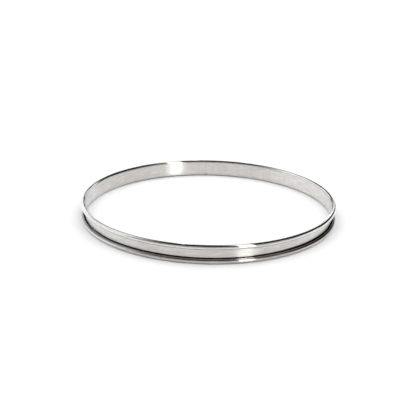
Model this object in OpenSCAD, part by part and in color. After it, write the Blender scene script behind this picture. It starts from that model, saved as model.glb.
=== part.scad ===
// Tart ring with rolled edges: one strip of stainless sheet, bent into a hoop and
// welded end to end, with both of its long edges curled outwards into a hollow open roll.
// The ring lies flat. Its axis is Z, and Z = 0 is the plane that it rests on.

/* [Ring] */
// Inside diameter of the hoop, which is the size of tart that it makes
inside_d = 280; // [60:1:340]
// Height over both rolled edges
height = 20; // [15:0.5:60]

/* [Sheet] */
// Thickness of the strip
sheet_t = 0.5; // [0.3:0.05:0.8]

/* [Rolled edge] */
// Outside diameter of the roll along each edge
roll_d = 5; // [4.4:0.1:6]
// Open gap between the curled-in edge of the strip and the wall beside it
roll_gap = 1.7; // [0.1:0.1:2]

/* [Hidden] */
$fn = 96;

wall_r = inside_d / 2;
roll_r = roll_d / 2;
// Middle of the sheet's thickness, seen from the middle of the roll
curl_r = roll_r - sheet_t / 2;
// The curled-in edge is rounded over and stops one gap short of the wall's outer face
tip_reach = roll_r - sheet_t - roll_gap - sheet_t / 2;
tip_angle = 180 + acos(tip_reach / curl_r);

// A pie slice from the origin, wide enough to cut right through the roll
module slice(from_angle, to_angle) {
    reach = 2 * roll_d;
    middle = (from_angle + to_angle) / 2;
    polygon([
        [0, 0],
        reach * [cos(from_angle), sin(from_angle)],
        reach * [cos(middle), sin(middle)],
        reach * [cos(to_angle), sin(to_angle)]
    ]);
}

// Section of one roll, its middle at the origin and the wall leaving it downwards on the left
module roll_section() {
    difference() {
        circle(r = roll_r);
        circle(r = roll_r - sheet_t);
        slice(180, tip_angle);
    }
    translate(curl_r * [cos(tip_angle), sin(tip_angle)])
        circle(r = sheet_t / 2);
}

// Section of the whole strip, drawn with X as the radius and Y as the height
module strip_section() {
    translate([wall_r, roll_r])
        square([sheet_t, height - roll_d]);
    translate([wall_r + roll_r, height - roll_r])
        roll_section();
    translate([wall_r + roll_r, roll_r])
        mirror([0, 1])
            roll_section();
}

module tart_ring() {
    color("silver")
        rotate_extrude($fn = 360)
            strip_section();
}

tart_ring();
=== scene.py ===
import math

import bpy
from mathutils import Matrix, Vector

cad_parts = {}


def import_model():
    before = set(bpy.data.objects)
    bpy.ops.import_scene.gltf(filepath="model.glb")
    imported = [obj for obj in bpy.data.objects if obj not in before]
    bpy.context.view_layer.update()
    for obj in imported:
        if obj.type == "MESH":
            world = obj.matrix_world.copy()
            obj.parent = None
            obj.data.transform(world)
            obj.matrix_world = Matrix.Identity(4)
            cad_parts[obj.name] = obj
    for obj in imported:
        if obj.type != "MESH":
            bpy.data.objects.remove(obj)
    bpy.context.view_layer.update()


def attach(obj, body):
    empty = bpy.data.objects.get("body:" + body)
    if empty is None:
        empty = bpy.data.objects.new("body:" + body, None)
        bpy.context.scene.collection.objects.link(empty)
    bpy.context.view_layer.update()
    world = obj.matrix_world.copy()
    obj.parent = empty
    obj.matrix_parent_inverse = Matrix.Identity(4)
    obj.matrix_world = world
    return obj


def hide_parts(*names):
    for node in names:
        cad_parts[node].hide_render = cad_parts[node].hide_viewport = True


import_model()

# --- Sizes in metres, the same as in the part's source ---

WALL_R = 0.140
HEIGHT = 0.020
SHEET = 0.0005
ROLL_R = 0.0025
GAP = 0.0017
CURL_R = ROLL_R - SHEET / 2
# Degrees round the roll's middle from the wall to the curled-in edge
TIP = math.degrees(math.acos((ROLL_R - SHEET - GAP - SHEET / 2) / CURL_R))

# --- Mesh: steps round the ring, and in each part of the section ---

COLUMNS = 640
OUTER_STEPS = 32
INNER_STEPS = 16
TIP_STEPS = 4
WALL_STEPS = 6
# Where the ends of the strip meet, in degrees round the axis from +X, and the columns beside it
WELD = 91.8
WELD_COLUMNS = (0.0, 0.05, 0.1, 0.16, 0.24, 0.4, 0.7)

# --- Steel. A range is (from, to) or (from, to, value before, value after) ---

STEEL = (0.74, 0.715, 0.69, 1)
STAINED = (0.6, 0.54, 0.49, 1)
# the colour of the painted shade on the low roll's front
DULL_SHADED = (0.74, 0.70, 0.66, 1)
# Brush marks: how often a metre along the strip and across it, noise detail, strength
FINE = (220.0, 2500.0, 3.0, 0.35)
BROAD = (80.0, 650.0, 2.0, 0.55)
CROSS = (260.0, 18.0, 2.0, 0.12)
BRUSH_DEPTH = 0.000002
# Height outside at which the brushing stops above the low roll, and its changes along x
GROOVE = 0.00705
GROOVE_LEFT = (-0.13, 0.0, 0.84, 1.0)
GROOVE_RIGHT = (0.06, 0.11, GROOVE, GROOVE * 0.95)
GROOVE_BLEND = 0.001
# The weld's half width and its stain's, and the height that the stain reaches
WELD_LINE = (0.0003, 0.0009, 1.0, 0.0)
STAIN_LINE = (0.0008, 0.004, 1.0, 0.0)
STAIN_RISE = (0.001, 0.007, 1.0, 0.0)
# The low roll's front is rougher, and darker by painted shade, over these x, y and z
DULL_SHADE_X = (-0.118, -0.07)
DULL_SHADE_Y = (-0.03, 0.0, 1.0, 0.0)
DULL_SHADE_Z = (0.004, 0.006, 1.0, 0.0)
# The shade along the low roll's top: how much at each end of x, and between which heights
SHADE_LEFT = (-0.11, -0.07, 0.65, 0.35)
SHADE_RIGHT = (0.07, 0.11, 0.35, 0.8)
SHADE_BOTTOM = (0.0032, 0.0044)
SHADE_TOP = (0.0052, 0.006, 1.0, 0.0)
# The shade at the ring's foot, on the whole strip and on the low roll's inner half
FOOT_LINE = (0.0002, 0.0012, 0.6, 1.0)
FOOT_RISE = (0.0003, 0.0018, 1.0, 0.0)
# How much each of these darkens the metal
HOLLOW_SHADE_SHARE, WELD_SHARE, DULL_SHADE_SHARE, FOOT_SHARE = 0.6, 0.08, 0.15, 0.5
ROLL_TONE = 0.91
# The sharp reflection's roughness, what brushing and dullness add, and the wide reflection's
SHARP, SHARP_BRUSHED, SHARP_DULL, SHARP_ANISO = 0.07, 0.1, 0.05, 0.5
WIDE, WIDE_ANISO, WIDE_SHARE = 0.32, 1.0, 0.7

# --- Stage ---

FLOOR_SIZE = 8.0
FLOOR_GREY = 0.85
FLOOR_SEEN = 0.1
# Light that the floor gives to the metal: everywhere, at the sides, and more at the far side
FLOOR_GLOW, FLOOR_SIDES, FLOOR_FAR = 0.05, 0.24, 0.08
SIDES_X = (0.08, 0.2)
FAR_RIGHT = (0.03, 0.09)
FAR_LEFT = (-0.12, -0.09, 1.0, 0.0)
FAR_Y = (0.0, 0.04)
SIDES_TINT = (0.88, 0.97, 1.1, 1)
WHITE = (1, 1, 1, 1)
CARD_GREY = 0.02

# The card behind the ring: its place, its ends at the step and above, its slot and its heights
BACK_Y = 0.66
BACK_LEFT, BACK_STEP_RIGHT, BACK_RIGHT = -0.143, 0.065, 0.22
SLOT_LEFT, SLOT_RIGHT = -0.052, -0.024
BACK_STEP, BACK_TOP = 0.26, 0.40
# The card at the right
SIDE_X = 0.30
SIDE_NEAR, SIDE_STEP_NEAR, SIDE_FAR = -0.10, 0.0, 0.45
SIDE_LOW, SIDE_STEP, SIDE_TOP = 0.06, 0.20, 0.35

# --- Studio, by direction ---

# How level the camera looks at the ring, as a cosine
LEVEL = 0.93
BACK = (0.55, 0.75)
BACK_MORE = 0.3
LEFT_BOX = (-0.85, -0.35, 1.0, 0.0)
LEFT_MORE = 0.2
# The dark ceiling leans to the back: its middle's height, and its edge from that middle, in degrees
CEILING = 80.5
CEILING_OUTER, CEILING_INNER = 56.5, 51
RIGHT_X = (-0.3, 0.0)
RIGHT_Y = (-0.35, -0.05)
RIGHT_Z = (0.36, 0.44)
DARK_SHARE = 0.95
# The room in front: its level at the left and at the right, and where it lies
ROOM_LEFT = (-0.95, -0.6, 1.0, 0.55)
ROOM_RIGHT = (0.4, 0.7, 0.0, 0.68)
ROOM_Y = (-0.3, 0.1, 1.0, 0.0)
ABOVE_TABLE = (0.0, 0.02)
# The darker gap between the table and the room
GAP_Y = (-0.3, 0.0, 1.0, 0.0)
GAP_TOP = (0.06, 0.1, 1.0, 0.0)
GAP_SHARE = 0.6
# The strip light: its sides, its foot, and its power low down and overhead
STRIP_LEFT = (0.235, 0.255)
STRIP_RIGHT = (0.365, 0.385, 1.0, 0.0)
STRIP_FOOT = (0.03, 0.08)
STRIP_LOW = (0.13, 0.27, 12.0, 0.0)
STRIP_HIGH = (0.3, 0.45, 1.0, 2.2)
# The light overhead that falls on the floor
OVERHEAD = (0.35, 0.9)
OVERHEAD_POWER = 1.86
COOL_TINT = (0.97, 1.0, 1.04, 1)

# --- Camera: pixels and metres, and angles in degrees ---

PICTURE = 416
SENSOR = 36.0
FOCAL_PX = 829.99
DISTANCE = 0.95647
RISE = 20.61
PITCH, ROLL, YAW = -0.3625, -1.2227, -0.031


def add_mesh(name, verts, faces):
    me = bpy.data.meshes.new(name)
    me.from_pydata(verts, [], faces)
    o = bpy.data.objects.new(name, me)
    bpy.context.collection.objects.link(o)
    return o


# --- Ring mesh ---

def section():
    """The strip's section as (radius, height) points, first along the face that shows on the rolls
    and inside the ring, then back along the face inside the rolls and outside the wall."""
    low = (WALL_R + ROLL_R, ROLL_R)
    top = (WALL_R + ROLL_R, HEIGHT - ROLL_R)
    pts = []

    def at(centre, radius, angle):
        a = math.radians(angle)
        return (centre[0] + radius * math.cos(a), centre[1] + radius * math.sin(a))

    def arc(centre, radius, start, end, steps, skip=0):
        """skip leaves out points at both ends, which the arcs beside it have already."""
        turn = (end - start) / steps
        pts.extend(at(centre, radius, start + turn * k) for k in range(skip, steps + 1 - skip))

    def wall(radius, rows):
        pts.extend((radius, ROLL_R + (HEIGHT - 2 * ROLL_R) * k / WALL_STEPS) for k in rows)

    arc(low, ROLL_R, 180 - TIP, -180, OUTER_STEPS)
    wall(WALL_R, range(1, WALL_STEPS))
    arc(top, ROLL_R, 180, TIP - 180, OUTER_STEPS)
    arc(at(top, CURL_R, TIP - 180), SHEET / 2, TIP - 180, TIP - 360, TIP_STEPS, skip=1)
    arc(top, ROLL_R - SHEET, TIP - 180, 180, INNER_STEPS)
    wall(WALL_R + SHEET, range(WALL_STEPS - 1, 0, -1))
    arc(low, ROLL_R - SHEET, -180, 180 - TIP, INNER_STEPS)
    arc(at(low, CURL_R, 180 - TIP), SHEET / 2, 360 - TIP, 180 - TIP, TIP_STEPS, skip=1)
    return pts


def columns():
    """Degrees round the ring: even steps from the weld, with closer ones beside it."""
    step = 360 / COLUMNS
    even = [WELD + step * k for k in range(2, COLUMNS - 1)]
    after = [WELD + a for a in WELD_COLUMNS]
    before = [WELD - a + 360 for a in WELD_COLUMNS[1:]]
    return sorted(even + after + before)


def ring():
    """The strip as one closed mesh. In its UV map u goes once round from the weld."""
    sec = section()
    cols = columns()
    n, m = len(sec), len(cols)
    run = [0.0]
    for k in range(n):
        run.append(run[-1] + math.dist(sec[k], sec[(k + 1) % n]))
    verts = []
    for deg in cols:
        a = math.radians(deg)
        verts += [(r * math.cos(a), r * math.sin(a), z) for r, z in sec]
    faces, uvs = [], []
    for i in range(m):
        j = (i + 1) % m
        u0 = (cols[i] - cols[0]) / 360
        u1 = (cols[j] - cols[0]) / 360 if j else 1.0
        for k in range(n):
            l = (k + 1) % n
            faces.append((i * n + k, i * n + l, j * n + l, j * n + k))
            uvs += [(u0, run[k]), (u0, run[k + 1]), (u1, run[k + 1]), (u1, run[k])]
    o = add_mesh("ring_steel", verts, faces)
    uv = o.data.uv_layers.new(name="strip")
    for loop, co in zip(uv.data, uvs):
        loop.uv = co
    for p in o.data.polygons:
        p.use_smooth = True
    o.data.update()
    return o


# --- Materials ---

class Nodes:
    """Short calls for building a node tree."""

    def __init__(self, tree):
        self.tree = tree
        tree.nodes.clear()

    def add(self, kind, **props):
        node = self.tree.nodes.new(kind)
        for key, value in props.items():
            setattr(node, key, value)
        return node

    def link(self, a, b):
        self.tree.links.new(a, b)

    def put(self, socket, value):
        if isinstance(value, bpy.types.NodeSocket):
            self.link(value, socket)
        else:
            socket.default_value = value

    def math(self, op, a, b=0.0, c=0.0):
        node = self.add("ShaderNodeMath", operation=op)
        for k, v in enumerate((a, b, c)):
            self.put(node.inputs[k], v)
        return node.outputs[0]

    def plus(self, a, b):
        return self.math("ADD", a, b)

    def minus(self, a, b):
        return self.math("SUBTRACT", a, b)

    def most(self, a, b):
        return self.math("MAXIMUM", a, b)

    def times(self, first, *rest):
        for value in rest:
            first = self.math("MULTIPLY", first, value)
        return first

    def scaled(self, value, share, base=1.0):
        """base where value is 0, and base + share where it is 1."""
        return self.math("MULTIPLY_ADD", value, share, base)

    def step(self, value, lo, hi, before=0.0, after=1.0):
        """Smoothly from one level at lo to another at hi."""
        node = self.add("ShaderNodeMapRange", interpolation_type="SMOOTHSTEP")
        names = ("Value", "From Min", "From Max", "To Min", "To Max")
        for name, v in zip(names, (value, lo, hi, before, after)):
            self.put(node.inputs[name], v)
        return node.outputs["Result"]

    def split(self, vector):
        node = self.add("ShaderNodeSeparateXYZ")
        self.link(vector, node.inputs[0])
        return node.outputs

    def join(self, x, y, z):
        node = self.add("ShaderNodeCombineXYZ")
        for k, v in enumerate((x, y, z)):
            self.put(node.inputs[k], v)
        return node.outputs[0]

    def length(self, a, b):
        return self.math("SQRT", self.plus(self.times(a, a), self.times(b, b)))

    def noise(self, vector, detail):
        node = self.add("ShaderNodeTexNoise")
        self.link(vector, node.inputs["Vector"])
        self.put(node.inputs["Scale"], 1.0)
        self.put(node.inputs["Detail"], detail)
        return node.outputs[0]

    def mix(self, share, a, b):
        node = self.add("ShaderNodeMix", data_type="RGBA")
        self.put(node.inputs[0], share)
        self.put(node.inputs[6], a)
        self.put(node.inputs[7], b)
        return node.outputs[2]


def new_material(name):
    mat = bpy.data.materials.new(name)
    mat.use_nodes = True
    t = Nodes(mat.node_tree)
    return mat, t, t.add("ShaderNodeOutputMaterial").inputs[0]


def steel():
    mat, t, surface = new_material("brushed_stainless")
    x, y, z = t.split(t.add("ShaderNodeTexCoord").outputs["Object"])
    rad = t.length(x, y)
    # height above the low edge or below the top edge, whichever is less
    edge = t.math("MINIMUM", z, t.minus(HEIGHT, z))
    # the wall's two faces, and the inner one alone
    wall = t.step(rad, WALL_R + SHEET * 1.3, WALL_R + SHEET * 1.8, 1.0, 0.0)
    inner = t.step(rad, WALL_R + SHEET * 0.3, WALL_R + SHEET * 0.7, 1.0, 0.0)
    off_wall = t.minus(1.0, wall)
    # the wall between the rolls is brushed, outside only down to the groove above the low roll
    between = t.step(edge, ROLL_R * 0.4, ROLL_R * 0.9)
    groove = t.times(t.step(x, *GROOVE_LEFT), t.step(x, *GROOVE_RIGHT))
    above = t.step(z, t.minus(groove, GROOVE_BLEND), groove)
    brushed = t.most(t.times(wall, between, above), t.times(inner, between))

    # brush lines run along the strip; u goes once round it from the weld
    u = t.split(t.add("ShaderNodeUVMap", uv_map="strip").outputs[0])[0]
    round_m = 2 * math.pi * WALL_R
    along = t.times(u, round_m)

    def marks(per_along, per_across, detail, strength):
        value = t.noise(t.join(t.times(along, per_along), t.times(z, per_across), rad), detail)
        return value, t.scaled(t.minus(value, 0.5), strength)

    fine, fine_tone = marks(*FINE)
    grain = t.times(fine_tone, marks(*BROAD)[1], marks(*CROSS)[1])
    # the weld: a thin dull line across the strip, with a brownish stain at its foot
    off = t.times(t.math("MINIMUM", u, t.minus(1.0, u)), round_m)
    weld = t.step(off, *WELD_LINE)
    stain = t.times(t.step(off, *STAIN_LINE), t.step(z, *STAIN_RISE))
    # painted shade inside the curls, where no light gets in; no brush gets in either
    from_middle = t.length(t.minus(rad, WALL_R + ROLL_R), t.minus(edge, ROLL_R))
    hollow_shade = t.step(from_middle, CURL_R, ROLL_R - SHEET * 0.1, 1.0, 0.0)
    # painted shade: the low roll is darker at the front, and also rougher there
    dull_shade = t.times(t.step(x, *DULL_SHADE_X), t.step(y, *DULL_SHADE_Y), t.step(z, *DULL_SHADE_Z), off_wall)
    # it is dark along its top, most near both ends, and along its foot
    shade = t.times(t.most(t.step(x, *SHADE_LEFT), t.step(x, *SHADE_RIGHT)),
                    t.step(z, *SHADE_BOTTOM), t.step(z, *SHADE_TOP), off_wall)
    foot = t.times(t.step(rad, WALL_R + SHEET, WALL_R + ROLL_R, 1.0, 0.0), t.step(z, *FOOT_RISE))
    tone = t.times(grain, t.scaled(hollow_shade, -HOLLOW_SHADE_SHARE),
                   t.step(edge, ROLL_R, ROLL_R * 1.5, ROLL_TONE, 1.0),
                   t.scaled(weld, -WELD_SHARE), t.scaled(dull_shade, -DULL_SHADE_SHARE), t.minus(1.0, shade),
                   t.step(z, *FOOT_LINE), t.scaled(foot, -FOOT_SHARE))
    colour = t.add("ShaderNodeVectorMath", operation="SCALE")
    t.link(t.mix(dull_shade, t.mix(stain, STEEL, STAINED), DULL_SHADED), colour.inputs[0])
    t.link(tone, colour.inputs[3])
    # the brush lines stand up a little
    bump = t.add("ShaderNodeBump")
    bump.inputs["Strength"].default_value = 1.0
    bump.inputs["Distance"].default_value = 1.0
    t.link(t.times(fine, brushed, BRUSH_DEPTH), bump.inputs["Height"])
    tangent = t.add("ShaderNodeTangent", direction_type="RADIAL", axis="Z")

    def metal(rough, aniso):
        b = t.add("ShaderNodeBsdfPrincipled")
        b.inputs["Metallic"].default_value = 1.0
        b.inputs["Anisotropic"].default_value = aniso
        b.inputs["Anisotropic Rotation"].default_value = 0.25
        t.put(b.inputs["Roughness"], rough)
        t.link(colour.outputs[0], b.inputs["Base Color"])
        t.link(tangent.outputs[0], b.inputs["Tangent"])
        t.link(bump.outputs[0], b.inputs["Normal"])
        return b.outputs[0]

    rough = t.scaled(brushed, SHARP_BRUSHED, t.scaled(dull_shade, SHARP_DULL, SHARP))
    both = t.add("ShaderNodeMixShader")
    t.put(both.inputs[0], t.times(brushed, WIDE_SHARE))
    t.link(metal(rough, SHARP_ANISO), both.inputs[1])
    t.link(metal(WIDE, WIDE_ANISO), both.inputs[2])
    t.link(both.outputs[0], surface)
    return mat


def floor_material():
    """White, a little brighter to the camera, with a glow that only the metal gets. It keeps the shadow."""
    mat, t, surface = new_material("white_floor")
    white = t.add("ShaderNodeBsdfDiffuse")
    white.inputs[0].default_value = (FLOOR_GREY, FLOOR_GREY, FLOOR_GREY, 1)
    glow = t.add("ShaderNodeEmission")
    path = t.add("ShaderNodeLightPath").outputs
    seen = t.most(path["Is Camera Ray"], path["Is Transmission Ray"])
    x, y, _ = t.split(t.add("ShaderNodeTexCoord").outputs["Object"])
    sides = t.step(t.math("ABSOLUTE", x), *SIDES_X)
    far = t.times(t.most(t.step(x, *FAR_RIGHT), t.step(x, *FAR_LEFT)), t.step(y, *FAR_Y))
    power = t.plus(t.scaled(sides, FLOOR_SIDES, FLOOR_GLOW), t.times(far, FLOOR_FAR))
    t.link(t.mix(sides, WHITE, SIDES_TINT), glow.inputs[0])
    t.put(glow.inputs[1], t.scaled(seen, FLOOR_SEEN, t.times(power, path["Is Glossy Ray"])))
    both = t.add("ShaderNodeAddShader")
    t.link(white.outputs[0], both.inputs[0])
    t.link(glow.outputs[0], both.inputs[1])
    t.link(both.outputs[0], surface)
    return mat


def cards():
    """Black cards behind the ring and at its right, which only show in the metal."""
    panels = (
        ((BACK_LEFT, BACK_Y), (SLOT_LEFT, BACK_Y), 0, BACK_STEP),
        ((SLOT_RIGHT, BACK_Y), (BACK_STEP_RIGHT, BACK_Y), 0, BACK_STEP),
        ((BACK_LEFT, BACK_Y), (BACK_RIGHT, BACK_Y), BACK_STEP, BACK_TOP),
        ((SIDE_X, SIDE_STEP_NEAR), (SIDE_X, SIDE_FAR), SIDE_LOW, SIDE_STEP),
        ((SIDE_X, SIDE_NEAR), (SIDE_X, SIDE_FAR), SIDE_STEP, SIDE_TOP),
    )
    verts, faces = [], []
    for a, b, low, high in panels:
        faces.append(tuple(range(len(verts), len(verts) + 4)))
        verts += [(*a, low), (*b, low), (*b, high), (*a, high)]
    o = add_mesh("cards", verts, faces)
    mat, t, surface = new_material("black_card")
    card = t.add("ShaderNodeBsdfDiffuse")
    card.inputs[0].default_value = (CARD_GREY, CARD_GREY, CARD_GREY, 1)
    t.link(card.outputs[0], surface)
    o.data.materials.append(mat)
    o.visible_camera = o.visible_diffuse = o.visible_shadow = o.visible_transmission = False
    return o


def world():
    """A white studio by direction: +Y is away from the camera and +X the right of the picture."""
    w = bpy.data.worlds.new("studio")
    bpy.context.scene.world = w
    w.use_nodes = True
    t = Nodes(w.node_tree)
    sky = t.add("ShaderNodeBackground")
    t.link(sky.outputs[0], t.add("ShaderNodeOutputWorld").inputs[0])
    x, y, z = t.split(t.add("ShaderNodeTexCoord").outputs["Generated"])
    path = t.add("ShaderNodeLightPath").outputs
    # each direction is told by the place on the ring, as a tangent, that mirrors it to the camera
    turn = t.math("DIVIDE", x, t.minus(LEVEL, y))
    back = t.step(y, *BACK)
    left = t.times(t.step(turn, *LEFT_BOX), t.minus(1.0, back))
    # dark ceiling that leans to the back, open on the left where the wide soft box stands
    tilt = math.radians(CEILING)
    lean = t.plus(t.times(z, math.sin(tilt)), t.times(y, math.cos(tilt)))
    ceiling = t.step(lean, math.cos(math.radians(CEILING_OUTER)), math.cos(math.radians(CEILING_INNER)))
    right = t.times(t.step(x, *RIGHT_X), t.step(z, *RIGHT_Z), t.minus(t.step(y, *RIGHT_Y), back))
    dark = t.times(t.most(ceiling, right), t.minus(1.0, left))
    level = t.scaled(dark, -DARK_SHARE, t.scaled(left, LEFT_MORE))
    # the room in front is darker than the table, least at the sides
    room = t.most(t.step(turn, *ROOM_LEFT), t.step(turn, *ROOM_RIGHT))
    above = t.step(z, *ABOVE_TABLE)
    front = t.times(t.step(y, *ROOM_Y), above)
    gap = t.times(above, t.step(z, *GAP_TOP), t.step(y, *GAP_Y))
    level = t.times(level, t.scaled(front, t.minus(room, 1.0)), t.scaled(gap, -GAP_SHARE))
    # the back is bright
    level = t.times(level, t.scaled(back, BACK_MORE))
    # a strip light at the right of the camera, brightest low down, that runs on overhead
    strip = t.times(t.step(turn, *STRIP_LEFT), t.step(turn, *STRIP_RIGHT), t.step(z, *STRIP_FOOT))
    power = t.plus(t.step(z, *STRIP_LOW), t.step(z, *STRIP_HIGH))
    level = t.plus(t.times(level, t.minus(1.0, strip)), t.times(strip, power))
    # the metal mirrors the studio, the floor is lit from overhead, and the camera sees plain white
    glossy = path["Is Glossy Ray"]
    overhead = t.times(t.step(z, *OVERHEAD), OVERHEAD_POWER, path["Is Diffuse Ray"])
    t.link(t.plus(t.plus(t.times(level, glossy), overhead), path["Is Camera Ray"]), sky.inputs[1])
    # the light on the left and at the back is cooler
    t.link(t.mix(t.times(t.most(left, back), glossy), WHITE, COOL_TINT), sky.inputs[0])


def camera():
    """The photograph's viewpoint, fitted to the outlines of the ring."""
    height, down, side = (math.radians(v) for v in (RISE, RISE + PITCH, YAW))
    place = Vector((0, -DISTANCE * math.cos(height), DISTANCE * math.sin(height)))
    ahead = Vector((math.sin(side) * math.cos(down), math.cos(side) * math.cos(down), -math.sin(down)))
    right = Vector((math.cos(side), -math.sin(side), 0))
    up = right.cross(ahead)
    c, s = math.cos(math.radians(ROLL)), math.sin(math.radians(ROLL))
    cam = bpy.data.cameras.new("camera")
    cam.sensor_width = SENSOR
    cam.lens = SENSOR * FOCAL_PX / PICTURE
    cam.clip_start = 0.01
    o = bpy.data.objects.new("camera", cam)
    m = Matrix((right * c - up * s, right * s + up * c, -ahead)).transposed().to_4x4()
    m.translation = place
    o.matrix_world = m
    bpy.context.collection.objects.link(o)
    bpy.context.scene.camera = o


# --- Scene ---

piece = ring()
piece.data.materials.append(steel())
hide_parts("tart_ring")
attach(piece, "root")

bpy.ops.mesh.primitive_plane_add(size=FLOOR_SIZE, location=(0, 0, 0))
floor = bpy.context.object
floor.name = "floor"
floor.data.materials.append(floor_material())

cards()

world()
camera()
bpy.context.scene.view_settings.view_transform = "Standard"
